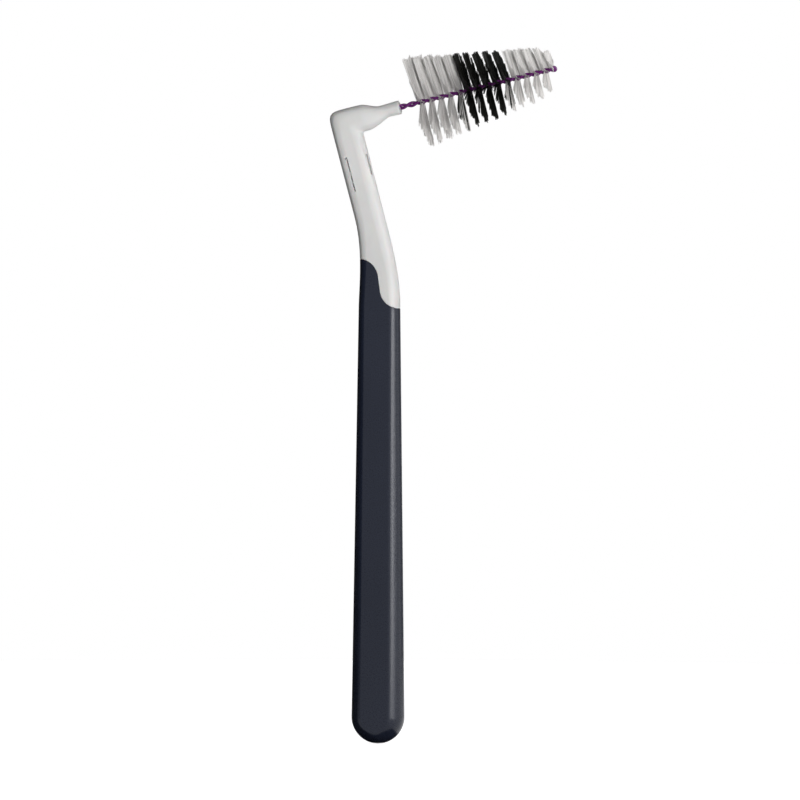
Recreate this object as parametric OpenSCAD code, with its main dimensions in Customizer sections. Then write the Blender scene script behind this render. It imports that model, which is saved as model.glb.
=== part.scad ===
// Interdental brush: a hard core in a soft grip, with a twisted wire that clamps a cone of filaments.
// Millimetres. The origin is the butt end of the handle, Z runs up the handle, +X points to the brush.

/* [Grip] */
// Length of the straight handle below the neck
grip_l = 73.4; // [60:0.5:95]
// Diameter of the rounded butt end
grip_end_d = 9; // [8:0.1:12]
// Diameter where the handle meets the neck
grip_top_d = 7.1; // [6.6:0.1:8]
// Width of the flat on the front and on the back
flat_w = 5.1; // [3:0.1:5.6]
// Thickness of the soft grip over the core
grip_wall = 1.1; // [0.6:0.1:1.4]

/* [Parting line] */
// Height of the parting line on the side below the brush, above the top of the handle
seam_start = 0.5; // [0.3:0.1:2]
// Drop of the parting line from one side of the neck to the other
seam_drop = 8.4; // [7.2:0.1:10]
// Radius of the two bends of the parting line
seam_r = 3.4; // [2.5:0.1:3.6]

/* [Neck] */
// Straight run between the handle and the bend
neck_start = 2.3; // [1:0.1:6]
// Radius of the bend along its centre line
neck_bend_r = 55; // [40:1:90]
// Lean of the neck away from the brush, in degrees
neck_lean = 15; // [8:0.5:20]
// Straight run between the bend and the elbow
neck_l = 13.5; // [10:0.5:20]
// Width of the neck above the bend
neck_w = 5.05; // [4.4:0.05:6]
// Depth of the neck from front to back
neck_depth = 3.9; // [3:0.1:4.6]

/* [Elbow and collar] */
// Width of the neck at the elbow
elbow_w = 5.1; // [4.4:0.05:6]
// Radius in the crook of the elbow
crook_r = 0.35; // [0.2:0.05:1]
// Depth of the arm below the wire, at the elbow
arm_below = 2.55; // [2:0.05:3]
// Depth of the arm above the wire, at the elbow
arm_above = 2.05; // [1.6:0.05:2.6]
// Length from the crook to the end of the collar
arm_l = 6.9; // [6.2:0.1:10]
// Tilt of the wire above square to the handle, in degrees
head_tilt = 13.3; // [5:0.1:25]
// Diameter of the collar at its waist
waist_d = 2.1; // [1.7:0.05:2.3]
// Diameter of the collar at its end
collar_d = 2.4; // [2:0.05:2.8]

/* [Wire] */
// Length of the wire beyond the filaments
tip_l = 0.7; // [0.5:0.1:2]
// Length of the wire held in the collar
anchor_l = 7.6; // [5:0.1:8]
// Diameter of the bare steel wire
wire_d = 0.34; // [0.25:0.01:0.4]
// Thickness of the coating on the wire
coat_t = 0.045; // [0.03:0.005:0.06]
// Gap between the wire and its bore
bore_gap = 0.035; // [0.02:0.005:0.08]

/* [Filaments] */
// Length of bare wire between the collar and the filaments
bare_l = 3; // [2:0.1:4]
// Length of wire covered by half a turn of filaments
half_turn = 1.685; // [1.4:0.005:1.75]
// Half turns in each of the three colours
turns_each = 4.75; // [3:0.25:6]
// Filaments in each half turn
row_count = 16; // [12:4:16]
// Reach of the filaments from the wire, next to the collar
base_reach = 8.2; // [6:0.1:10]
// Reach of the filaments from the wire, at the tip
tip_reach = 3.1; // [2:0.1:5]
// Thickness of one filament
filament_d = 0.09; // [0.06:0.01:0.1]

/* [Hidden] */

grip_colour = "#343b4a";
core_colour = "#e2e2e0";
steel_colour = "#9a9da1";
coat_colour = "#5b1f6b";
white_colour = "#c9c6c2";
black_colour = "#1a1a1a";

round_fn = 96;
over = 1;

// Handle: a round end and the taper that leaves it as a tangent, with a flat at the front and the back
end_steps = 9;
end_flat_angle = 3;
grip_steps = 4;
end_r = grip_end_d / 2;
top_r = grip_top_d / 2;
taper = asin((end_r - top_r) / (grip_l - end_r));
end_half_depth = sqrt(end_r * end_r - flat_w * flat_w / 4);
top_half_depth = sqrt(top_r * top_r - flat_w * flat_w / 4);

// Parting line: two arcs joined by a slanting line, seen from the front
seam_angle = 8;
seam_x = 0.2;
seam_steps = 10;
seam_low = grip_l + seam_start;
seam_high = seam_low + seam_drop;
tang_top = seam_high - grip_wall;

// The whole outside is a run of sections. Each has an inner point, on the side of the brush, an outer
// point on the other side, a half depth, and the share by which its round sides would pass its flats.
side_steps = 8;
least_bulge_share = 1.02;
bend_steps = 9;
elbow_steps = 12;
flare_steps = 9;
neck_bulge_share = 1.2;
arm_bulge_share = 1.1;
corner_soft_share = 0.14;
least_cos_share = 0.01;
bend_end = [-neck_bend_r * (1 - cos(neck_lean)), grip_l + neck_start + neck_bend_r * sin(neck_lean)];
neck_dir = [-sin(neck_lean), cos(neck_lean)];
elbow_mid = bend_end + neck_l * neck_dir;
crook = elbow_mid + (crook_r + elbow_w / 2) * [cos(neck_lean), sin(neck_lean)];

// Arm and collar, along the axis of the wire
axis_dir = [cos(head_tilt), sin(head_tilt)];
axis_up = [-sin(head_tilt), cos(head_tilt)];
arm_start = crook + (crook_r + arm_below) * axis_up;
collar_end = arm_start + arm_l * axis_dir;
flare_top_l = 3.6;
flare_bottom_start = 0.6;
flare_bottom_l = 5;
flare_inset = 0.02;
flare_l = flare_bottom_start + flare_bottom_l;
flare_end_r = waist_d / 2 - flare_inset;
collar_start_share = 0.85;
collar_start = collar_start_share * flare_top_l;
collar_edge = 0.15;

// Grooves in the neck: one on the front, one on the side of the brush
groove_w = 0.22;
groove_depth = 0.16;
front_groove_l = 6;
side_groove_l = 3.7;
front_groove_shift = 0.95;
front_groove_low = 4.2;
side_groove_low = 7.3;

// Filaments: each colour is fused to a slice of twisted ribbon that the two legs of the wire clamp
brush_l = 3 * turns_each * half_turn;
slice_half_w = 0.2;
slice_steps = 8;
strand_root = slice_half_w / 2;
ragged_share = 0.05;
scatter_share = 0.618;

// Wire: one wire folded at the tip, its two legs twisted round the axis
clamp_gap = 0.01;
coat_in = 1.5;
leg_steps = 4;
fold_steps = 4;
leg_sides = 6;
leg_r = wire_d / 2 + coat_t;
leg_shift = leg_r + (filament_d + clamp_gap) / 2;
bore_r = leg_shift + leg_r + bore_gap;
bore_l = anchor_l + bore_gap;
fold_at = bare_l + brush_l + tip_l - leg_r - leg_shift;

function ease(t) = let (u = max(0, min(1, t))) u * u * (3 - 2 * u);
function blend(a, b, t) = a + (b - a) * t;
function polar(r, a) = r * [cos(a), sin(a)];

// Faces of a tube with closed ends, from rings of n points each, as triangles
function tube_faces(rings, n) = concat(
    [for (i = [0:rings - 2], j = [0:n - 1]) [i * n + j, (i + 1) * n + j, (i + 1) * n + (j + 1) % n]],
    [for (i = [0:rings - 2], j = [0:n - 1]) [i * n + j, (i + 1) * n + (j + 1) % n, i * n + (j + 1) % n]],
    [for (j = [1:n - 2]) [0, j, j + 1]],
    [for (j = [1:n - 2]) [(rings - 1) * n, (rings - 1) * n + j + 1, (rings - 1) * n + j]]);

module tube(rings) {
    n = len(rings[0]);
    polyhedron(points = [for (ring = rings) each ring], faces = tube_faces(len(rings), n), convexity = 10);
}

// Sections of the handle, smaller all round by the given inset and cut off at the given height
function handle_section(r, z, inset) = let (depth = min(flat_depth(z) - inset, r / least_bulge_share))
    [[r, z], [-r, z], depth, r / depth];
function flat_depth(z) = blend(end_half_depth, top_half_depth, z / grip_l);
function handle_sections(inset, top) = let (r = end_r - inset, low = end_r + r * sin(taper))
    concat(
        [for (i = [0:end_steps]) let (a = blend(end_flat_angle - 90, taper, i / end_steps))
            handle_section(r * cos(a), end_r + r * sin(a), inset)],
        [for (i = [1:grip_steps]) let (z = blend(low, top, i / grip_steps))
            handle_section(r * cos(taper) - (z - low) * tan(taper), z, inset)]);

// Sections of the bend, the elbow and the arm
function bend_width(t) = blend(grip_top_d, neck_w, ease(t));
function bend_mid(l) = l < neck_start ? [0, grip_l + l]
    : let (a = (l - neck_start) / neck_bend_r * 180 / PI)
      [-neck_bend_r * (1 - cos(a)), grip_l + neck_start + neck_bend_r * sin(a)];
function bend_angle(l) = l < neck_start ? 0 : (l - neck_start) / neck_bend_r * 180 / PI;
bend_l = neck_start + neck_bend_r * neck_lean * PI / 180;
function bend_section(t) = let (
    l = bend_l * t,
    side = polar(bend_width(t) / 2, bend_angle(l)),
    depth = blend(top_half_depth, neck_depth / 2, ease(t)),
    bulge = blend(top_r / top_half_depth, neck_bulge_share, ease(t)))
    [bend_mid(l) + side, bend_mid(l) - side, depth, bulge];
function elbow_reach(a) = let (
    by_neck = (crook_r + elbow_w) / max(least_cos_share, cos(180 + neck_lean - a)),
    by_arm = (crook_r + arm_below + arm_above) / max(least_cos_share, cos(a - 90 - head_tilt)))
    pow(pow(by_neck, -1 / corner_soft_share) + pow(by_arm, -1 / corner_soft_share), -corner_soft_share);
function elbow_section(t) = let (a = blend(180 + neck_lean, 90 + head_tilt, t))
    [crook + polar(crook_r, a), crook + polar(elbow_reach(a), a), neck_depth / 2,
     blend(neck_bulge_share, arm_bulge_share, t)];
function flare_section(t) = let (
    l = flare_l * t,
    low = blend(arm_below, flare_end_r, ease((l - flare_bottom_start) / flare_bottom_l)),
    high = blend(arm_above, flare_end_r, ease(l / flare_top_l)),
    mid = arm_start + l * axis_dir)
    [mid - low * axis_up, mid + high * axis_up,
     blend(neck_depth / 2, flare_end_r, ease(l / flare_bottom_l)), arm_bulge_share];
body_sections = concat(handle_sections(0, grip_l),
    [for (i = [1:bend_steps]) bend_section(i / bend_steps)],
    [for (i = [0:elbow_steps]) elbow_section(i / elbow_steps)],
    [for (i = [1:flare_steps]) flare_section(i / flare_steps)]);

// One ring of the outside: two round sides, with a flat between them at the front and at the back
function section_ring(s) = let (
    mid = (s[0] + s[1]) / 2,
    half = (s[1] - s[0]) / 2,
    turn = asin(1 / s[3]))
    [for (side = [0, 180], i = [0:side_steps])
        let (a = side - turn + 2 * turn * i / side_steps, p = mid + half * cos(a))
        [p[0], -s[2] * s[3] * sin(a), p[1]]];

module body_form() {
    tube([for (s = body_sections) section_ring(s)]);
}

// The part of the core that the grip covers
module tang() {
    tube([for (s = handle_sections(grip_wall, tang_top)) section_ring(s)]);
}

// Everything below the parting line, seen from the front
module seam_area() {
    high_mid = [seam_x - seam_r, seam_high - seam_r];
    high_leave = high_mid + polar(seam_r, seam_angle);
    run = (high_mid[1] - seam_low - seam_r + 2 * seam_r * sin(seam_angle)) / cos(seam_angle);
    low_mid = high_leave + run * [sin(seam_angle), -cos(seam_angle)] + polar(seam_r, seam_angle);
    polygon(concat(
        [[-grip_end_d, seam_high]],
        [for (i = [0:seam_steps]) high_mid + polar(seam_r, blend(90, seam_angle, i / seam_steps))],
        [for (i = [0:seam_steps]) low_mid + polar(seam_r, blend(180 + seam_angle, 270, i / seam_steps))],
        [[grip_end_d, low_mid[1] - seam_r], [grip_end_d, -over], [-grip_end_d, -over]]));
}

module below_seam() {
    rotate([90, 0, 0]) linear_extrude(height = 2 * grip_end_d, center = true) seam_area();
}

module grip_sleeve() {
    color(grip_colour)
    difference() {
        intersection() {
            body_form();
            below_seam();
        }
        tang();
    }
}

// Moves its children onto the wire's axis, with their Z along the wire and their origin at the collar's end
module on_axis() {
    translate([collar_end[0], 0, collar_end[1]]) rotate([0, 90 - head_tilt, 0]) children();
}

// Moves its children onto the neck's centre line, with their Z along the neck
module on_neck() {
    translate([bend_end[0], 0, bend_end[1]]) rotate([0, -neck_lean, 0]) children();
}

module grooves() {
    on_neck() {
        translate([-front_groove_shift - groove_w / 2, -neck_depth / 2 - over, front_groove_low])
            cube([groove_w, over + groove_depth, front_groove_l]);
        translate([neck_w / 2 - groove_depth, -groove_w / 2, side_groove_low])
            cube([over + groove_depth, groove_w, side_groove_l]);
    }
}

module collar() {
    low = collar_start - arm_l;
    on_axis() rotate_extrude($fn = round_fn)
        polygon([[0, low], [waist_d / 2, low], [collar_d / 2, -collar_edge],
                 [collar_d / 2 - collar_edge, 0], [0, 0]]);
}

module neck_core() {
    color(core_colour)
    difference() {
        union() {
            difference() {
                body_form();
                below_seam();
            }
            tang();
            collar();
        }
        on_axis() translate([0, 0, -bore_l]) cylinder(r = bore_r, h = bore_l + over, $fn = round_fn);
        grooves();
    }
}

// Directions along and round the wire's axis. The twist is left handed.
along = [axis_dir[0], 0, axis_dir[1]];
upright = [axis_up[0], 0, axis_up[1]];
function on_wire(l) = [collar_end[0], 0, collar_end[1]] + l * along;
function twist(l) = 180 * (l - bare_l) / half_turn;
function strand_dir(l) = cos(twist(l)) * upright + [0, sin(twist(l)), 0];
function leg_dir(l) = -sin(twist(l)) * upright + [0, cos(twist(l)), 0];

// A ring of the wire's leg: centre, outward direction and the direction of travel
function leg_ring(centre, out, travel, r) = let (side = cross(travel, out))
    [for (k = [0:leg_sides - 1])
        let (a = 360 * (k + 1 / 2) / leg_sides) centre + r * (cos(a) * out + sin(a) * side)];
function leg_travel(l) = let (t = along - PI * leg_shift / half_turn * strand_dir(l)) t / norm(t);
function leg_travel_back(l) = let (t = -along - PI * leg_shift / half_turn * strand_dir(l)) t / norm(t);
function leg_places(start) = let (n = ceil((fold_at - start) * leg_steps / half_turn))
    [for (i = [0:n]) start + (fold_at - start) * i / n];

// The folded wire as one unbroken tube of radius r, from the given place out to the fold and back
module folded_wire(start, r) {
    places = leg_places(start);
    out = leg_dir(fold_at);
    tube(concat(
        [for (l = places) leg_ring(on_wire(l) + leg_shift * leg_dir(l), leg_dir(l), leg_travel(l), r)],
        [for (i = [1:fold_steps - 1])
            let (a = 180 * i / fold_steps, o = cos(a) * out + sin(a) * along)
            leg_ring(on_wire(fold_at) + leg_shift * o, o, cos(a) * along - sin(a) * out, r)],
        [for (i = [len(places) - 1:-1:0])
            let (l = places[i])
            leg_ring(on_wire(l) - leg_shift * leg_dir(l), -leg_dir(l), leg_travel_back(l), r)]));
}

module wire() {
    color(steel_colour) folded_wire(-anchor_l, wire_d / 2);
}

module wire_coating() {
    color(coat_colour)
    difference() {
        folded_wire(-coat_in, leg_r);
        wire();
    }
}

function reach(l) = blend(base_reach, tip_reach, (l - bare_l) / brush_l);
function scatter(k) = k * scatter_share - floor(k * scatter_share);

// One filament's half: a three-sided strand that stands square to the wire
module strand(l, side, k) {
    dir = side * strand_dir(l);
    across = cross(dir, along);
    tip = reach(l) * (1 - ragged_share * scatter(k));
    tube([for (r = [strand_root, tip])
        [for (i = [0:2]) on_wire(l) + r * dir
            + filament_d / 2 * (cos(120 * i) * along + sin(120 * i) * across)]]);
}

module filaments(first_turn) {
    rows = turns_each * slice_steps;
    start = bare_l + first_turn * half_turn;
    tube([for (i = [0:rows])
        let (l = start + half_turn * i / slice_steps, w = slice_half_w * strand_dir(l),
             t = filament_d / 2 * leg_dir(l))
        [on_wire(l) + w + t, on_wire(l) + w - t, on_wire(l) - w - t, on_wire(l) - w + t]]);
    for (k = [0:turns_each * row_count - 1], side = [-1, 1])
        strand(start + half_turn * (k + 1 / 2) / row_count, side, 2 * (k + first_turn * row_count) + side);
}

module base_filaments() {
    color(white_colour) filaments(0);
}

module middle_filaments() {
    color(black_colour) filaments(turns_each);
}

module tip_filaments() {
    color(white_colour) filaments(2 * turns_each);
}

grip_sleeve();
neck_core();
wire();
wire_coating();
base_filaments();
middle_filaments();
tip_filaments();
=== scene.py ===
import math
import random

import bmesh
import bpy
from mathutils import Matrix, Vector


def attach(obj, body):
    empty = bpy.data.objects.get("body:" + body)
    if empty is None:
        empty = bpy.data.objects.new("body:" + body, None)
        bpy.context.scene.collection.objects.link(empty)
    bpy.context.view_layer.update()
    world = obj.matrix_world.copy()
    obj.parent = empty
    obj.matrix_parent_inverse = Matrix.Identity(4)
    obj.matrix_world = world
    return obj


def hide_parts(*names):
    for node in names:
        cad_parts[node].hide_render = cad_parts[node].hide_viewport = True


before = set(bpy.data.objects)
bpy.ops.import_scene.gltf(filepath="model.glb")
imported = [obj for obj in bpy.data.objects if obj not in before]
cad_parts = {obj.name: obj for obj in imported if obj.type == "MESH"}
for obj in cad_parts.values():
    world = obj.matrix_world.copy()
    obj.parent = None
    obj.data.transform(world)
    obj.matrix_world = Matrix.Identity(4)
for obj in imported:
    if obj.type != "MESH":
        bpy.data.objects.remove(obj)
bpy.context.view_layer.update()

# An interdental brush: a satin grip over a white core, a coated twisted wire and three bands of
# filaments. Pieces are drawn in millimetres, in the model's own frame, and brought to metres when done.
random.seed(7)
mm = 0.001

# Handle
grip_l = 73.4
end_r = 4.5
top_r = 3.55
flat_w = 5.1
grip_wall = 1.1
end_flat_angle = 3
end_roundness = 0.3
top_roundness = 0.85
tang_roundness = 0.3
least_bulge = 1.02
taper = math.degrees(math.asin((end_r - top_r) / (grip_l - end_r)))
end_half_depth = math.sqrt(end_r**2 - flat_w**2 / 4)
top_half_depth = math.sqrt(top_r**2 - flat_w**2 / 4)

# Parting line, and the rounding of the edge that each piece has along it
seam_angle = 8
seam_r = 3.4
seam_x = 0.2
seam_lift = 0.5
seam_rise = 8.4
seam_low = grip_l + seam_lift
seam_high = seam_low + seam_rise
tang_top = seam_high - grip_wall
seam_margin = 0.5
grip_lip = 0.06
core_lip = 0.12

# Neck and elbow. Between two heights on the neck the long edges turn soft.
neck_start = 2.3
neck_bend_r = 55
neck_lean = 15
neck_l = 13.5
neck_w = 5.05
neck_depth = 3.9
neck_bulge = 1.2
neck_soft_at = 79
neck_soft_run = 6
elbow_w = 5.1
crook_r = 0.35
arm_below = 2.55
arm_above = 2.05
arm_bulge = 1.1
corner_soft_share = 0.14

# Collar and wire. The coating is shown a little thicker than its solid, coat_t, because the wire looks
# fuller in the photograph.
arm_l = 6.9
head_tilt = 13.3
waist_r = 1.05
cone_at = 3.06
collar_r = 1.2
collar_edge = 0.15
round_bulge = 1.01
anchor_l = 7.6
wire_r = 0.17
coat_t = 0.045
shown_coat_t = 0.08
leg_shift = 0.265
bore_gap = 0.035
bore_r = leg_shift + wire_r + coat_t + bore_gap
coat_in = 1.5
fold_swell = 1.1

# Filaments. Their reach shrinks evenly from the base to the tip, and over the last turn it drops to a
# share of itself.
bare_l = 3
tip_l = 0.7
half_turn = 1.685
turns_each = 4.75
base_reach = 8.45
tip_reach = 4.2
end_reach = 0.82
end_drop_at = 0.92
end_drop_run = 0.06
strand_r = 0.05
strand_tip_r = 0.04
brush_l = 3 * turns_each * half_turn
fold_at = bare_l + brush_l + tip_l - wire_r - coat_t - leg_shift

# Fins. Each colour has its own habit: the stretch of wire that an upper fin stands on, the pace at which
# it opens, the leans of its first and last clump, the turns at which its upper and lower fans end, and
# the number of filaments that cross the wire in front. Where two colours meet, they mix in a lower fin.
# The border shares are those of the colour nearer the collar. Leans are in millimetres at the filament's
# tip, and turns and tilts in degrees.
fins_each = 5
fin_strands = 150
back_strands = 60
clump_strands = 9
fin_yaw = 0.12
end_leans = (0.5, -0.02)
mixed_lower_end = 240
border_shares = (0.5, 0.4)
lean_scatter = 0.09
turn_scatter = 1.5
tilt_scatter = 0.9
least_trim = 0.96
tip_margin = 0.02
fin_habits = {
    "base_tuft": {"root_l": 1.5, "pace": 3.4, "leans": (0.5, 0.42), "upper_end": 38, "lower_end": 240,
                  "over_wire": 14},
    "middle_tuft": {"root_l": 1.3, "pace": 1.6, "leans": (0.54, 0.22), "upper_end": 84, "lower_end": 262,
                    "over_wire": 84},
    "tip_tuft": {"root_l": 1.6, "pace": 2.4, "leans": (0.42, 0.3), "upper_end": 62, "lower_end": 240,
                 "over_wire": 14}}


def blend(a, b, share):
    return a + (b - a) * share


def ease(share):
    share = min(1, max(0, share))
    return share * share * (3 - 2 * share)


def polar(r, degrees):
    """A step of length r in the plane of the neck, X across and Z up."""
    return Vector((r * math.cos(math.radians(degrees)), 0, r * math.sin(math.radians(degrees))))


bend_middle = Vector((-neck_bend_r, 0, grip_l + neck_start))
bend_end = bend_middle + polar(neck_bend_r, neck_lean)
elbow_mid = bend_end + polar(neck_l, 90 + neck_lean)
crook = elbow_mid + polar(crook_r + elbow_w / 2, neck_lean)
along = polar(1, head_tilt)
upward = polar(1, 90 + head_tilt)
arm_start = crook + (crook_r + arm_below) * upward
collar_end = arm_start + arm_l * along


# The skin of handle and neck is a run of sections. A section is its middle, half its width, half its
# depth, the turn of its plane, and how far its round sides would pass its flats.
def handle_section(r, z, inset=0):
    depth = min(blend(end_half_depth, top_half_depth, z / grip_l) - inset, r / least_bulge)
    return Vector((0, 0, z)), r, depth, 0, r / depth


def handle_sections(inset, top, end_steps, grip_steps):
    """The round end, then the tapering grip up to this top, all of it inset from the outside."""
    r = end_r - inset
    low = end_r + r * math.sin(math.radians(taper))
    found = []
    for step in range(end_steps + 1):
        angle = math.radians(blend(end_flat_angle - 90, taper, step / end_steps))
        found.append(handle_section(r * math.cos(angle), end_r + r * math.sin(angle), inset))
    for step in range(1, grip_steps + 1):
        z = blend(low, top, step / grip_steps)
        width = r * math.cos(math.radians(taper)) - (z - low) * math.tan(math.radians(taper))
        found.append(handle_section(width, z, inset))
    return found


def bend_sections(steps):
    """The neck rises straight at first, then bends away from the brush as it slims."""
    length = neck_start + neck_bend_r * math.radians(neck_lean)
    found = []
    for step in range(1, steps + 1):
        share = step / steps
        turn = math.degrees(max(0, length * share - neck_start) / neck_bend_r)
        middle = bend_middle + polar(neck_bend_r, turn)
        if length * share < neck_start:
            middle = Vector((0, 0, grip_l + length * share))
        found.append((middle, blend(top_r, neck_w / 2, ease(share)),
                      blend(top_half_depth, neck_depth / 2, ease(share)), turn,
                      blend(top_r / top_half_depth, neck_bulge, ease(share))))
    return found


def between(inner, outer, depth, bulge):
    """A section from its inner point, on the side of the brush, to its outer point."""
    across = inner - outer
    return ((inner + outer) / 2, across.length / 2, depth,
            math.degrees(math.atan2(across.z, across.x)), bulge)


def elbow_sections(steps):
    """Sections that turn about the crook, out to the softened corner of the neck and the arm."""
    least_cosine = 0.01
    power = 1 / corner_soft_share
    found = []
    for step in range(steps + 1):
        angle = blend(180 + neck_lean, 90 + head_tilt, step / steps)
        to_neck = math.cos(math.radians(180 + neck_lean - angle))
        to_arm = math.cos(math.radians(angle - 90 - head_tilt))
        by_neck = (crook_r + elbow_w) / max(least_cosine, to_neck)
        by_arm = (crook_r + arm_below + arm_above) / max(least_cosine, to_arm)
        reach = (by_neck**-power + by_arm**-power) ** -corner_soft_share
        found.append(between(crook + polar(crook_r, angle), crook + polar(reach, angle),
                             neck_depth / 2, blend(neck_bulge, arm_bulge, step / steps)))
    return found


def arm_sections(steps):
    """The arm narrows from the elbow to its waist and opens again as the collar's cone."""
    narrow_r = waist_r - 0.02
    low_at, low_run = 0.6, 5
    high_run = 3.6
    depth_run = 5
    round_at, round_run = 2, 2.5
    cone_l = arm_l - cone_at - collar_edge
    found = []
    for step in range(1, steps + 1):
        l = (arm_l - collar_edge) * step / steps
        cone = blend(waist_r, collar_r, (l - cone_at) / cone_l) if l > cone_at else 0
        low = max(cone, blend(arm_below, narrow_r, ease((l - low_at) / low_run)))
        high = max(cone, blend(arm_above, narrow_r, ease(l / high_run)))
        depth = max(cone, blend(neck_depth / 2, narrow_r, ease(l / depth_run)))
        middle = arm_start + l * along
        found.append(between(middle - low * upward, middle + high * upward, depth,
                             blend(arm_bulge, round_bulge, ease((l - round_at) / round_run))))
    return found


def mouth_sections():
    """The rounded rim of the collar and the bore for the wire, as a radius and a place for each ring."""
    rings = [(collar_r - 0.03, -0.09), (collar_r - 0.09, -0.03), (collar_r - 0.17, 0),
             (bore_r + 0.1, 0), (bore_r + 0.03, -0.04), (bore_r, -0.12), (bore_r, -4),
             (bore_r, -anchor_l - bore_gap)]
    return [between(collar_end + l * along - r * upward, collar_end + l * along + r * upward,
                    r, round_bulge) for r, l in rings]


# Working by hand in edit mode
def choose(test, kind="verts"):
    """Selects the vertices or the edges that pass the test, and nothing else."""
    mesh = bmesh.from_edit_mesh(bpy.context.object.data)
    mesh.verts.index_update()
    for element in getattr(mesh, kind):
        element.select = bool(test(element))
    mesh.select_flush_mode()
    bmesh.update_edit_mesh(bpy.context.object.data)


def begin(add, name, **how):
    """Adds a primitive, alone in the selection, and opens it in edit mode with nothing selected."""
    if bpy.context.object and bpy.context.object.mode == "EDIT":
        bpy.ops.object.mode_set(mode="OBJECT")
    bpy.ops.object.select_all(action="DESELECT")
    add(**how)
    piece = bpy.context.object
    piece.name = name
    piece.data.name = name
    bpy.ops.object.mode_set(mode="EDIT")
    bpy.ops.mesh.select_mode(type="VERT")
    bpy.ops.mesh.select_all(action="DESELECT")
    return piece


def only(piece):
    """Leaves edit mode and makes the piece the only one selected."""
    if bpy.context.object and bpy.context.object.mode == "EDIT":
        bpy.ops.object.mode_set(mode="OBJECT")
    bpy.ops.object.select_all(action="DESELECT")
    piece.select_set(True)
    bpy.context.view_layer.objects.active = piece
    return piece


def copied(piece, name):
    only(piece)
    bpy.ops.object.duplicate()
    bpy.context.object.name = name
    bpy.context.object.data.name = name
    return bpy.context.object


def finish_with(piece, kind, **settings):
    """Adds a modifier with these settings and applies it."""
    only(piece)
    modifier = piece.modifiers.new(kind.title(), kind)
    for key, value in settings.items():
        setattr(modifier, key, value)
    bpy.ops.object.modifier_apply(modifier=modifier.name)


def carve(piece, tool, operation):
    finish_with(piece, "BOOLEAN", object=tool, operation=operation, solver="EXACT")


def discard(*tools):
    for tool in tools:
        bpy.data.objects.remove(tool)


def bring_home(piece, node, finish, angle=None):
    """Brings a finished piece to metres, gives it its finish and lets it stand for its node. Edges under
    the angle are shaded smooth."""
    only(piece)
    piece.scale = (mm, mm, mm)
    bpy.ops.object.transform_apply(location=True, rotation=True, scale=True)
    if angle is not None:
        bpy.ops.object.shade_smooth_by_angle(angle=math.radians(angle))
    piece.data.materials.clear()
    piece.data.materials.append(finish)
    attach(piece, "root")
    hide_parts(node)


# Section ring: a circle whose front and back are cut flat, and whose four corners are rounded
ring_points = 60
ring_corner = 48
corner_x = math.cos(math.radians(ring_corner))
corner_y = math.sin(math.radians(ring_corner))
corner_round = 0.2


def section_ring():
    piece = begin(bpy.ops.mesh.primitive_circle_add, "ring", vertices=ring_points, radius=1)
    step = 360 / ring_points
    near = 0.01
    choose(lambda v: abs(v.co.y) > math.sin(math.radians(ring_corner + step / 2)))
    bpy.ops.mesh.delete(type="VERT")
    for side in (-1, 1):
        choose(lambda v: v.co.y * side > math.sin(math.radians(ring_corner - step / 2)))
        bpy.ops.mesh.edge_face_add()
    choose(lambda v: abs(abs(v.co.y) - math.sin(math.radians(ring_corner - step))) < near)
    bpy.ops.mesh.dissolve_verts()
    choose(lambda v: abs(v.co.y) > corner_y - near)
    bpy.ops.mesh.bevel(offset=corner_round, segments=4, affect="VERTICES")
    bpy.ops.object.mode_set(mode="OBJECT")
    bpy.ops.object.mode_set(mode="EDIT")
    return piece


def skin(name, sections, roundness):
    """A closed skin through the sections. For each section, roundness tells how round its four corners
    are, as a share of the section ring's."""
    piece = section_ring()
    piece.name = name
    count = len(bmesh.from_edit_mesh(piece.data).verts)
    around_corner = corner_round * 1.02
    for place, (middle, half, depth, turn, bulge) in enumerate(sections):
        choose(lambda v: v.index < count)
        bpy.ops.mesh.duplicate()
        first = count * (place + 1)
        narrow = (1 - math.sqrt(1 - 1 / bulge**2)) / (1 - corner_x)
        # At its roundest, a section keeps a little of the flat between two corners
        roundest = (0.98 / narrow - 1 + corner_x) / corner_round
        share = min(roundness(sections[place]), roundest)
        for x in (-corner_x, corner_x):
            for y in (-corner_y, corner_y):
                choose(lambda v: v.index >= first
                       and (v.co - Vector((x, y, 0))).length < around_corner)
                bpy.ops.transform.resize(value=(share, share, 1), center_override=(x, y, 0))
        for side in (-1, 1):
            choose(lambda v: v.index >= first and v.co.x * side > 0)
            bpy.ops.transform.resize(value=(narrow, 1, 1), center_override=(side, 0, 0))
        choose(lambda v: v.index >= first)
        bpy.ops.transform.resize(value=(half, depth / corner_y, 1), center_override=(0, 0, 0))
        bpy.ops.transform.rotate(value=math.radians(turn), orient_axis="Y", center_override=(0, 0, 0))
        bpy.ops.transform.translate(value=middle)
    choose(lambda v: v.index < count)
    bpy.ops.mesh.delete(type="VERT")
    bpy.ops.object.mode_set(mode="OBJECT")
    bpy.ops.object.mode_set(mode="EDIT")
    for place in range(len(sections) - 1):
        choose(lambda v: place * count <= v.index < (place + 2) * count)
        bpy.ops.mesh.bridge_edge_loops()
    for place in (0, len(sections) - 1):
        choose(lambda v: place * count <= v.index < (place + 1) * count)
        bpy.ops.mesh.edge_face_add()
    bpy.ops.mesh.select_all(action="SELECT")
    bpy.ops.mesh.normals_make_consistent(inside=False)
    return only(piece)


def body_roundness(section):
    """Long edges that are crisp at the grip's end, rounder towards its top, and soft on the neck."""
    height = section[0].z
    on_grip = blend(end_roundness, top_roundness, min(1, height / grip_l))
    return blend(on_grip, 1, ease((height - neck_soft_at) / neck_soft_run))


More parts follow.
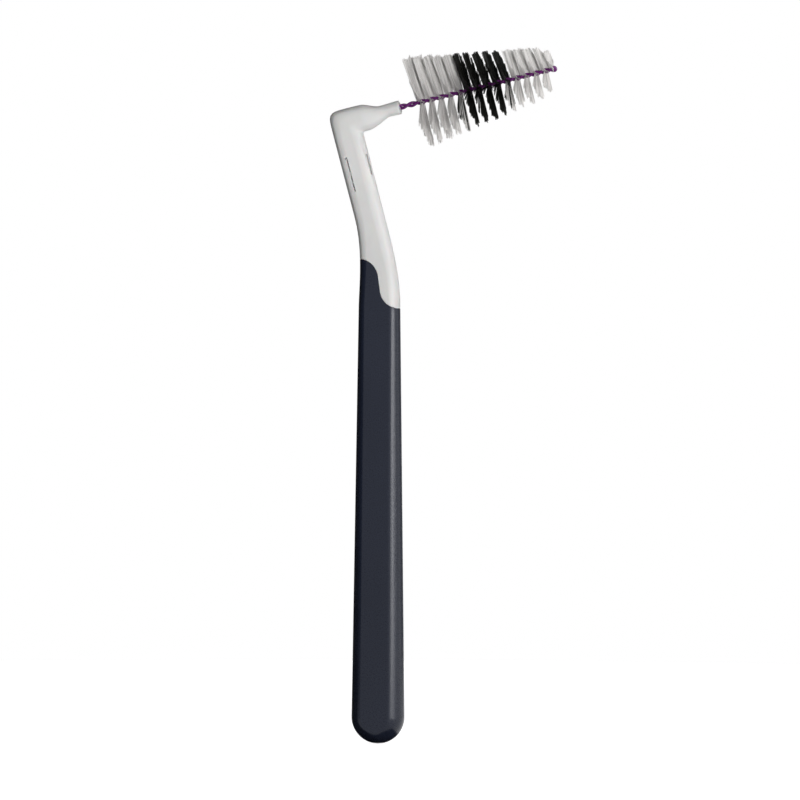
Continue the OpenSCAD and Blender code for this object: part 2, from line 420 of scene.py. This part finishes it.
def parting_tool():
    """Everything below the parting line: an outline drawn from the front, then pulled to the back."""
    span = 9
    foot = -1
    piece = begin(bpy.ops.mesh.primitive_plane_add, "parting_tool", size=1,
                  location=(-span, -span, seam_high), rotation=(math.radians(90), 0, 0))
    bpy.ops.mesh.select_all(action="SELECT")
    bpy.ops.mesh.merge(type="CENTER")
    high_middle = Vector((seam_x - seam_r, -span, seam_high - seam_r))
    high_leave = high_middle + polar(seam_r, seam_angle)
    drop = high_middle.z - seam_low - seam_r + 2 * seam_r * math.sin(math.radians(seam_angle))
    low_enter = high_leave + polar(drop / math.cos(math.radians(seam_angle)), seam_angle - 90)
    low_middle = low_enter + polar(seam_r, seam_angle)
    bend = math.radians(90 - seam_angle)

    def step_to(x, z):
        here = next(v.co.copy() for v in bmesh.from_edit_mesh(piece.data).verts if v.select)
        move = Vector((x, -span, z)) - here - piece.location
        bpy.ops.mesh.extrude_region_move(TRANSFORM_OT_translate={"value": move})

    def swing(middle, angle):
        bpy.ops.mesh.spin(steps=14, angle=angle, center=middle, axis=(0, 1, 0))

    only(piece)
    bpy.ops.object.transform_apply(location=True, rotation=True, scale=True)
    bpy.ops.object.mode_set(mode="EDIT")
    bpy.ops.mesh.select_all(action="SELECT")
    step_to(high_middle.x, seam_high)
    swing(high_middle, -bend)
    step_to(low_enter.x, low_enter.z)
    swing(low_middle, bend)
    step_to(span, low_middle.z - seam_r)
    step_to(span, foot)
    step_to(-span, foot)
    bpy.ops.mesh.select_all(action="SELECT")
    bpy.ops.mesh.remove_doubles(threshold=0.001)
    bpy.ops.mesh.edge_face_add()
    bpy.ops.mesh.extrude_region_move(TRANSFORM_OT_translate={"value": (0, 2 * span, 0)})
    bpy.ops.mesh.select_all(action="SELECT")
    bpy.ops.mesh.normals_make_consistent(inside=False)
    return only(piece)


def groove_tool(name, width, depth, length, x, height, hooked=False):
    """A slim bar to cut a groove along the neck, from in front. Its x is measured from the neck's middle
    line and its height from the bend's end. The hook is a short foot at the top, to the left."""
    over = 1
    hook_l = 0.22
    hook_h = 0.3
    hook_drop = 0.05
    near = 0.01
    begin(bpy.ops.mesh.primitive_cube_add, name, size=1, location=(0, 0, 0))
    bpy.ops.mesh.select_all(action="SELECT")
    bpy.ops.transform.resize(value=(width, over + depth, length), center_override=(0, 0, 0))
    if hooked:
        heel = length / 2 - hook_h
        bpy.ops.mesh.bisect(plane_co=(0, 0, heel), plane_no=(0, 0, 1), threshold=0.001)
        choose(lambda v: v.co.x < 0 and v.co.z > heel - near)
        bpy.ops.mesh.extrude_region_move(TRANSFORM_OT_translate={"value": (-hook_l, 0, -hook_drop)})
    bpy.ops.mesh.select_all(action="SELECT")
    bpy.ops.transform.translate(value=(x, (depth - over) / 2 - neck_depth / 2, height))
    bpy.ops.transform.rotate(value=math.radians(neck_lean), orient_axis="Y", center_override=(0, 0, 0))
    bpy.ops.transform.translate(value=bend_end)
    bpy.ops.mesh.normals_make_consistent(inside=False)
    return only(bpy.context.object)


def on_axis(piece):
    """Lays a piece drawn along Z onto the wire's axis, with its origin at the end of the collar."""
    only(piece)
    piece.rotation_euler = (0, math.radians(90 - head_tilt), 0)
    piece.location = collar_end
    bpy.ops.object.transform_apply(location=True, rotation=True, scale=True)


def twist(l):
    """Degrees that the pair of legs has turned at this length from the collar."""
    return 180 * (l - bare_l) / half_turn


def turn_about_axis(radians):
    bpy.ops.transform.rotate(value=radians, orient_axis="Z", center_override=(0, 0, 0))


# The wire: one leg is drawn turn by turn, carried over the top of the fold, and copied as the other leg.
# Its last steps straighten it, so that the fold joins it without a kink.
def folded_wire(name, radius, start):
    steps_each = 8
    straighten = 4
    piece = begin(bpy.ops.mesh.primitive_circle_add, name, vertices=12, radius=radius)
    slope = math.atan(math.pi * leg_shift / half_turn)
    steps = round((fold_at - start) / half_turn * steps_each)
    rise = (fold_at - start) / steps
    bpy.ops.mesh.select_all(action="SELECT")
    bpy.ops.transform.rotate(value=-slope, orient_axis="Y", center_override=(0, 0, 0))
    bpy.ops.transform.translate(value=(0, leg_shift, start))
    turn_about_axis(math.radians(twist(start)))
    for step in range(1, steps + 1):
        bpy.ops.mesh.extrude_region_move(TRANSFORM_OT_translate={"value": (0, 0, rise)})
        turn_about_axis(math.radians(180 * rise / half_turn))
        if step > steps - straighten:
            here = start + rise * step
            turn_about_axis(-math.radians(twist(here)))
            bpy.ops.transform.rotate(value=slope / straighten, orient_axis="Y",
                                     center_override=(0, leg_shift, here))
            turn_about_axis(math.radians(twist(here)))
    across = math.radians(twist(fold_at))
    bpy.ops.mesh.spin(steps=5, angle=-math.radians(90), center=(0, 0, fold_at),
                      axis=(math.cos(across), -math.sin(across), 0))
    bpy.ops.mesh.select_all(action="SELECT")
    bpy.ops.mesh.remove_doubles(threshold=0.0005)
    bpy.ops.mesh.select_all(action="SELECT")
    bpy.ops.mesh.duplicate()
    turn_about_axis(math.pi)
    bpy.ops.mesh.select_all(action="SELECT")
    bpy.ops.mesh.remove_doubles(threshold=0.002)
    bpy.ops.mesh.normals_make_consistent(inside=False)
    return only(piece)


# The filaments: one is drawn, and every other is a copy of it with its own place, lean and length
def one_filament():
    """A filament one unit long, thinner at its tip, with a slight bow. Its points keep how far along it
    they are, and a tone that each copy sets."""
    piece = begin(bpy.ops.mesh.primitive_cone_add, "filament", vertices=4, radius1=strand_r,
                  radius2=strand_tip_r, depth=1, location=(0, 0, 0.5))
    near = 0.05
    choose(lambda e: abs(e.verts[0].co.z - e.verts[1].co.z) > 0.5, "edges")
    bpy.ops.mesh.subdivide(number_cuts=3)
    for height, bow in ((-0.25, 0.014), (0, 0.024), (0.25, 0.02)):
        choose(lambda v: abs(v.co.z - height) < near)
        bpy.ops.transform.translate(value=(bow, 0, 0))
    only(piece)
    bpy.ops.object.transform_apply(location=True, rotation=True, scale=True)
    run = piece.data.attributes.new("run", "FLOAT", "POINT")
    for vert, value in zip(piece.data.vertices, run.data):
        value.value = vert.co.z
    piece.data.attributes.new("tone", "FLOAT", "POINT")
    return piece


def filament_on(model, l, turn, lean, trim):
    """A copy of the filament, rooted at this length of the wire. A turn of 0 stands up, one of 90 points
    to the back and one of 180 hangs down. The lean is how far its tip lies towards the handle, and the
    trim is the share of the reach that it keeps."""
    share = (l - bare_l) / brush_l
    drop = blend(1, end_reach, ease((share - end_drop_at) / end_drop_run))
    reach = blend(base_reach, tip_reach, share) * drop * trim
    angle = math.radians(turn)
    tilt = -math.atan(fin_yaw * math.sin(angle) + lean / reach)
    tilt += math.radians(random.gauss(0, tilt_scatter))
    out = math.cos(tilt)
    direction = Vector((-math.cos(angle) * out, math.sin(angle) * out, math.sin(tilt)))
    turned = direction.to_track_quat("Z", "Y").to_matrix().to_4x4()
    spun = Matrix.Rotation(random.uniform(0, 2 * math.pi), 4, "Z")
    copy = model.copy()
    copy.data = model.data.copy()
    grown = Matrix.Diagonal((1, 1, reach, 1))
    copy.data.transform(Matrix.Translation((0, 0, l)) @ turned @ spun @ grown)
    tone = random.random()
    for value in copy.data.attributes["tone"].data:
        value.value = tone
    bpy.context.collection.objects.link(copy)
    return copy


def fan(model, crest, count, roots, turns, pace, leans, rag, gather):
    """Part of a fin: filaments in clumps, from the first root and turn to the last. A pace over 1 opens
    the fan slowly at first. The leans are those of its ends, and each clump keeps near what its place
    between them gives. The rag is how much shorter a clump may be, and the gather is the share by which
    its filaments close up on its middle."""
    clumps = max(2, count // clump_strands)
    habits = [(blend(*leans, (k + 0.5) / clumps) + random.gauss(0, lean_scatter),
               random.uniform(1 - rag, 1)) for k in range(clumps)]
    made = []
    for k in range(count):
        share = (k + random.random()) / count
        clump = int(share * clumps)
        aimed = blend(share, (clump + 0.5) / clumps, gather)
        lean, trim = habits[clump]
        root = min(fold_at - tip_margin, crest + blend(*roots, share))
        turn = blend(*turns, aimed**pace) + random.gauss(0, turn_scatter)
        made.append(filament_on(model, root, turn, lean, trim * random.uniform(least_trim, 1)))
    return made


def fins_of(third):
    """The upper fins of this third of the head, and its lower fins with this third's share of each."""
    first = fins_each * third
    last = first + fins_each - 1
    lowers = [(fin, 1) for fin in range(first, last)]
    if third > 0:
        lowers.insert(0, (first - 1, 1 - border_shares[third - 1]))
    if third < len(border_shares):
        lowers.append((last, border_shares[third]))
    return range(first, last + 1), lowers


def tuft(name, model, third):
    """The filaments of one colour. A fin stands up from its stretch of wire, with others across the wire
    in front of it, and hangs down from the last half of that stretch, with a few more at the back."""
    habit = fin_habits[name]
    uppers, lowers = fins_of(third)
    copies = []
    for fin in uppers:
        crest = bare_l + half_turn * fin
        root_l = min(habit["root_l"], fold_at - crest)
        leans = habit["leans"] if root_l == habit["root_l"] else end_leans
        copies += fan(model, crest, fin_strands, roots=(0, root_l), turns=(-22, habit["upper_end"]),
                      pace=habit["pace"], leans=leans, rag=0.07, gather=0.45)
        copies += fan(model, crest, habit["over_wire"], roots=(0.1, 1.4), turns=(-55, -110), pace=1,
                      leans=(0.1, 0), rag=0.08, gather=0.2)
    for fin, part in lowers:
        crest = bare_l + half_turn * fin
        lower_end = habit["lower_end"] if part == 1 else mixed_lower_end
        copies += fan(model, crest, round(fin_strands * part), roots=(1.27, 0.6), turns=(180, lower_end),
                      pace=1.6, leans=(0.08, 0.55), rag=0.24, gather=0.7)
        copies += fan(model, crest, round(back_strands * part), roots=(0.95, 0.45), turns=(175, 45),
                      pace=1, leans=(0, 0.4), rag=0.1, gather=0.3)
    bpy.ops.object.select_all(action="DESELECT")
    for copy in copies:
        copy.select_set(True)
    bpy.context.view_layer.objects.active = copies[0]
    bpy.ops.object.join()
    piece = bpy.context.object
    piece.name = name
    piece.data.name = name
    on_axis(piece)
    return piece


# Finishes
class Finish:
    """A material whose nodes are laid one by one."""

    def __init__(self, name, **values):
        self.material = bpy.data.materials.new(name)
        self.material.use_nodes = True
        self.nodes = self.material.node_tree.nodes
        self.links = self.material.node_tree.links
        self.surface = self.nodes["Principled BSDF"]
        for key, value in values.items():
            socket = key.replace("_", " ").title().replace("Ior", "IOR")
            self.surface.inputs[socket].default_value = value

    def add(self, kind, inputs=None, **settings):
        """Adds a node. An input is either another node's output or a plain value."""
        node = self.nodes.new(kind)
        for key, value in settings.items():
            setattr(node, key, value)
        for key, value in (inputs or {}).items():
            if isinstance(value, bpy.types.NodeSocket):
                self.links.new(value, node.inputs[key])
            else:
                node.inputs[key].default_value = value
        return node

    def noise(self, scale, detail, stretch=(1, 1, 1)):
        """Soft random patches, so many to the metre."""
        place = self.add("ShaderNodeTexCoord").outputs["Object"]
        place = self.add("ShaderNodeMapping", {"Vector": place, "Scale": stretch}).outputs["Vector"]
        patches = self.add("ShaderNodeTexNoise", {"Vector": place, "Scale": scale, "Detail": detail})
        return patches.outputs["Fac"]

    def reading(self, name):
        """A number kept with the piece's own points."""
        return self.add("ShaderNodeAttribute", attribute_name=name).outputs["Fac"]

    def spread(self, value, low, high, start=0.3, end=0.7):
        """Brings a value that runs from start to end to one that runs from low to high."""
        return self.add("ShaderNodeMapRange", {"Value": value, "From Min": start, "From Max": end,
                                               "To Min": low, "To Max": high}).outputs["Result"]

    def tint(self, value, dark, light):
        """A colour from dark, where the value is 0, to light, where it is 1."""
        mix = self.add("ShaderNodeMix", data_type="RGBA")
        self.links.new(value, mix.inputs["Factor"])
        for name, colour in (("A", dark), ("B", light)):
            socket = next(s for s in mix.inputs if s.name == name and s.type == "RGBA")
            socket.default_value = (*colour, 1)
        return next(s for s in mix.outputs if s.type == "RGBA")

    def join(self, socket, value):
        self.links.new(value, self.surface.inputs[socket])

    def bump(self, height, depth, strength):
        """Fine relief, its depth in millimetres."""
        node = self.add("ShaderNodeBump", {"Height": height, "Distance": depth * mm,
                                           "Strength": strength})
        self.join("Normal", node.outputs["Normal"])


def satin_grip():
    finish = Finish("satin_grip", roughness=0.4, specular_ior_level=0.25)
    clouds = finish.spread(finish.noise(150, detail=3, stretch=(1, 1, 0.35)), 0, 1)
    finish.join("Base Color", finish.tint(clouds, (0.0105, 0.0142, 0.0275), (0.0138, 0.0178, 0.033)))
    grain = finish.noise(7000, detail=3)
    finish.join("Roughness", finish.spread(grain, 0.26, 0.3))
    finish.bump(grain, depth=0.004, strength=0.1)
    return finish.material


def white_core():
    finish = Finish("white_core", roughness=0.5, subsurface_weight=0.08, subsurface_scale=0.001,
                    specular_ior_level=0.15)
    clouds = finish.spread(finish.noise(240, detail=3, stretch=(1, 1, 0.5)), 0, 1)
    finish.join("Base Color", finish.tint(clouds, (0.76, 0.755, 0.745), (0.82, 0.82, 0.815)))
    grain = finish.noise(5200, detail=2)
    finish.join("Roughness", finish.spread(grain, 0.44, 0.54))
    finish.bump(grain, depth=0.006, strength=0.2)
    return finish.material


def purple_coating():
    finish = Finish("purple_coating", roughness=0.35, specular_ior_level=0.3)
    patches = finish.spread(finish.noise(1600, detail=3), 0, 1)
    finish.join("Base Color", finish.tint(patches, (0.1, 0.01, 0.115), (0.15, 0.017, 0.17)))
    grain = finish.noise(9000, detail=2)
    finish.join("Roughness", finish.spread(grain, 0.24, 0.4))
    finish.bump(grain, depth=0.008, strength=0.3)
    return finish.material


def drawn_steel():
    finish = Finish("drawn_steel", metallic=1.0, roughness=0.28)
    streaks = finish.spread(finish.noise(9000, detail=2, stretch=(0.08, 1, 0.08)), 0, 1)
    finish.join("Base Color", finish.tint(streaks, (0.52, 0.53, 0.55), (0.64, 0.65, 0.67)))
    finish.join("Roughness", finish.spread(streaks, 0.22, 0.34, start=0, end=1))
    return finish.material


def nylon(name, root, tip, variety, shine):
    """Filaments that differ a little from each other at random, with painted shade at the root that
    pales to painted light at the tip.
    """
    finish = Finish(name, roughness=0.42, specular_ior_level=shine)
    along_it = finish.spread(finish.reading("run"), 0, 1, start=0, end=1)
    tone = finish.spread(finish.reading("tone"), 1 - variety, 1 + variety, start=0, end=1)
    # Painted shade at the root, where the filaments crowd at the wire, paling to painted light at the
    # tip in place of their translucency
    root_shade_tip_light = finish.tint(along_it, root, tip)
    shades = finish.add("ShaderNodeHueSaturation", {"Color": root_shade_tip_light, "Value": tone})
    finish.join("Base Color", shades.outputs["Color"])
    finish.join("Roughness", finish.spread(finish.noise(12000, detail=1), 0.34, 0.5))
    return finish.material


# Handle and neck: one skin, parted along the line between grip and core
grip = skin("grip_skin", handle_sections(0, grip_l, end_steps=14, grip_steps=5) + bend_sections(14)
            + elbow_sections(20) + arm_sections(24) + mouth_sections(), body_roundness)
tang = skin("tang", handle_sections(grip_wall, tang_top, end_steps=8, grip_steps=4),
            lambda section: tang_roundness)
parting = parting_tool()
core = copied(grip, "neck_skin")
carve(grip, parting, "INTERSECT")
carve(grip, tang, "DIFFERENCE")
carve(core, parting, "DIFFERENCE")
carve(core, tang, "UNION")
front_groove = groove_tool("front_groove", width=0.23, depth=1, length=6, x=-0.95, height=7.2,
                           hooked=True)
side_groove = groove_tool("side_groove", width=0.24, depth=2, length=3.7, x=neck_w / 2 - 0.21,
                          height=8.15)
carve(core, front_groove, "DIFFERENCE")
carve(core, side_groove, "DIFFERENCE")
for piece, lip in ((grip, grip_lip), (core, core_lip)):
    only(piece)
    bpy.ops.object.mode_set(mode="EDIT")
    bpy.ops.mesh.select_mode(type="EDGE")
    choose(lambda e: e.is_manifold and e.calc_face_angle() > math.radians(60)
           and seam_low - seam_margin < min(v.co.z for v in e.verts)
           and max(v.co.z for v in e.verts) < seam_high + seam_margin, "edges")
    bpy.ops.transform.edge_bevelweight(value=1)
    finish_with(piece, "BEVEL", width=lip, segments=2, limit_method="WEIGHT", use_clamp_overlap=False)
discard(parting, tang, front_groove, side_groove)
bring_home(grip, "grip_sleeve", satin_grip(), angle=35)
bring_home(core, "neck_core", white_core(), angle=35)
for piece in (grip, core):
    finish_with(piece, "WEIGHTED_NORMAL", keep_sharp=True)

# Wire. Its steel shows nowhere and keeps the frame's mesh.
coating = folded_wire("coating", wire_r + shown_coat_t, -coat_in)
bpy.ops.object.mode_set(mode="EDIT")
choose(lambda v: v.co.z > fold_at)
bpy.ops.transform.resize(value=(fold_swell, fold_swell, fold_swell), center_override=(0, 0, fold_at))
finish_with(coating, "SOLIDIFY", thickness=shown_coat_t, offset=-1)
on_axis(coating)
bring_home(coating, "wire_coating", purple_coating(), angle=50)
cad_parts["wire"].data.materials.clear()
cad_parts["wire"].data.materials.append(drawn_steel())

# Filaments
filament = one_filament()
# The root colours are painted shade where the filaments crowd at the wire, and the tip colours are
# painted light in place of their translucency.
white_nylon = nylon("white_nylon", root=(0.69, 0.675, 0.663), tip=(0.78, 0.765, 0.75),
                    variety=0.26, shine=0.5)
black_nylon = nylon("black_nylon", root=(0.004, 0.004, 0.0035), tip=(0.009, 0.009, 0.0075),
                    variety=0.5, shine=0.16)
for third, (name, node, slot, finish) in enumerate((
        ("base_tuft", "base_filaments", "white_filaments", white_nylon),
        ("middle_tuft", "middle_filaments", "black_filaments", black_nylon),
        ("tip_tuft", "tip_filaments", "white_filaments", white_nylon))):
    bring_home(tuft(name, filament, third), node, finish)
discard(filament)

# Floor, lamps and camera
view_azimuth = math.radians(12)
to_camera = Vector((math.sin(view_azimuth), -math.cos(view_azimuth), 0))
right = Vector((math.cos(view_azimuth), math.sin(view_azimuth), 0))
brush_middle = Vector((0, 0, 0.06))
floor_white = 0.92
room_glow = 0.02


def background_rays(nodes, links):
    """A value of 1 for the rays that show the background, and of 0 for those that light the brush."""
    rays = nodes.new("ShaderNodeLightPath")
    value = rays.outputs["Is Camera Ray"]
    for kind in ("Is Transmission Ray", "Is Glossy Ray"):
        either = nodes.new("ShaderNodeMath")
        either.operation = "MAXIMUM"
        links.new(value, either.inputs[0])
        links.new(rays.outputs[kind], either.inputs[1])
        value = either.outputs[0]
    return value


def softbox(name, azimuth, elevation, distance, width, height, watts, glossy=True, diffuse=True):
    """A soft lamp that faces the brush. Azimuth 0 is in front, and 90 is on the side of the head."""
    turn = math.radians(azimuth)
    rise = math.radians(elevation)
    away = Vector((math.sin(turn) * math.cos(rise), -math.cos(turn) * math.cos(rise), math.sin(rise)))
    bpy.ops.object.light_add(type="AREA", location=brush_middle + away * distance)
    lamp = bpy.context.object
    lamp.name = name
    lamp.rotation_euler = away.to_track_quat("Z", "Y").to_euler()
    lamp.data.shape = "RECTANGLE"
    lamp.data.size = width
    lamp.data.size_y = height
    lamp.data.energy = watts
    lamp.visible_glossy = glossy
    lamp.visible_diffuse = diffuse


def grey_card(name, middle, size, turn, shade):
    """A card out of the picture, that only reflections show. Its middle is given to the right of the
    camera's line, behind the brush and above the floor."""
    begin(bpy.ops.mesh.primitive_plane_add, name, size=1)
    bpy.ops.mesh.select_all(action="SELECT")
    bpy.ops.transform.resize(value=(*size, 1), center_override=(0, 0, 0))
    card = only(bpy.context.object)
    card.rotation_euler = turn
    card.location = right * middle[0] - to_camera * middle[1] + Vector((0, 0, middle[2]))
    for kind in ("camera", "diffuse", "transmission", "volume_scatter", "shadow"):
        setattr(card, "visible_" + kind, False)
    paper = Finish(name + "_paper", roughness=0.9, base_color=(shade, shade, shade, 1))
    card.data.materials.append(paper.material)


scene = bpy.context.scene
begin(bpy.ops.mesh.primitive_circle_add, "floor", vertices=96, radius=0.3, fill_type="NGON")
floor = only(bpy.context.object)
paper = Finish("floor_paper", roughness=0.9, base_color=(0.5, 0.5, 0.5, 1))
lift = paper.add("ShaderNodeMath", {0: background_rays(paper.nodes, paper.links), 1: floor_white},
                 operation="MULTIPLY")
glow = paper.add("ShaderNodeEmission", {"Strength": lift.outputs[0]})
both = paper.add("ShaderNodeAddShader", {0: paper.surface.outputs[0], 1: glow.outputs[0]})
paper.links.new(both.outputs[0], paper.nodes["Material Output"].inputs["Surface"])
floor.data.materials.append(paper.material)

room = bpy.data.worlds.new("studio")
scene.world = room
room.use_nodes = True
air = room.node_tree
strength = air.nodes.new("ShaderNodeMapRange")
strength.inputs["To Min"].default_value = room_glow
air.links.new(background_rays(air.nodes, air.links), strength.inputs["Value"])
air.nodes["Background"].inputs["Color"].default_value = (1, 1, 1, 1)
air.links.new(strength.outputs["Result"], air.nodes["Background"].inputs["Strength"])

# Lamps: azimuth, elevation, distance, width, height and watts. The strips and the edge lamp show in
# reflections alone. The others light the brush and don't show in reflections.
softbox("front_softbox", 28, 0, 0.7, 0.45, 0.6, 5.3, glossy=False)
softbox("left_softbox", -52, 28, 0.7, 0.4, 0.4, 0.15, glossy=False)
softbox("side_strip", 77, 0, 0.5, 0.14, 0.6, 3.4, diffuse=False)
softbox("upper_strip", 55, 5, 0.5, 0.16, 0.11, 1, diffuse=False)
softbox("upper_edge", 96, 5, 0.5, 0.08, 0.11, 0.3, diffuse=False)
softbox("right_softbox", 105, 4, 0.6, 0.3, 0.5, 1.2, glossy=False)
softbox("back_fill", 195, 10, 0.7, 0.45, 0.6, 3.6, glossy=False)

# Cards: middle, size, turn and shade
beside = (math.radians(90), 0, view_azimuth + math.radians(90))
level = (0, 0, view_azimuth)
grey_card("left_card", (-0.11, 0.535, 0.1), (1.33, 0.5), beside, 0.02)
grey_card("right_card", (0.11, 0.64, 0.1), (1.12, 0.5), beside, 0.6)
grey_card("top_card", (0, 0.59, 0.17), (0.21, 1.2), level, 0.05)
grey_card("low_card", (-0.0525, 0.4232, 0.0002), (0.115, 0.854), level, 0.02)

picture_w = 0.136
picture_middle = right * 0.00354 + Vector((0, 0, 0.0584))
camera_roll = 0.21
lens = 250
sensor_w = 36
bpy.ops.object.camera_add(location=picture_middle + to_camera * picture_w * lens / sensor_w)
camera = bpy.context.object
camera.name = "camera"
camera.data.lens = lens
camera.data.sensor_width = sensor_w
camera.data.clip_end = 10
roll = Matrix.Rotation(math.radians(camera_roll), 3, "Z")
camera.rotation_euler = (to_camera.to_track_quat("Z", "Y").to_matrix() @ roll).to_euler()
scene.camera = camera
scene.view_settings.view_transform = "Standard"
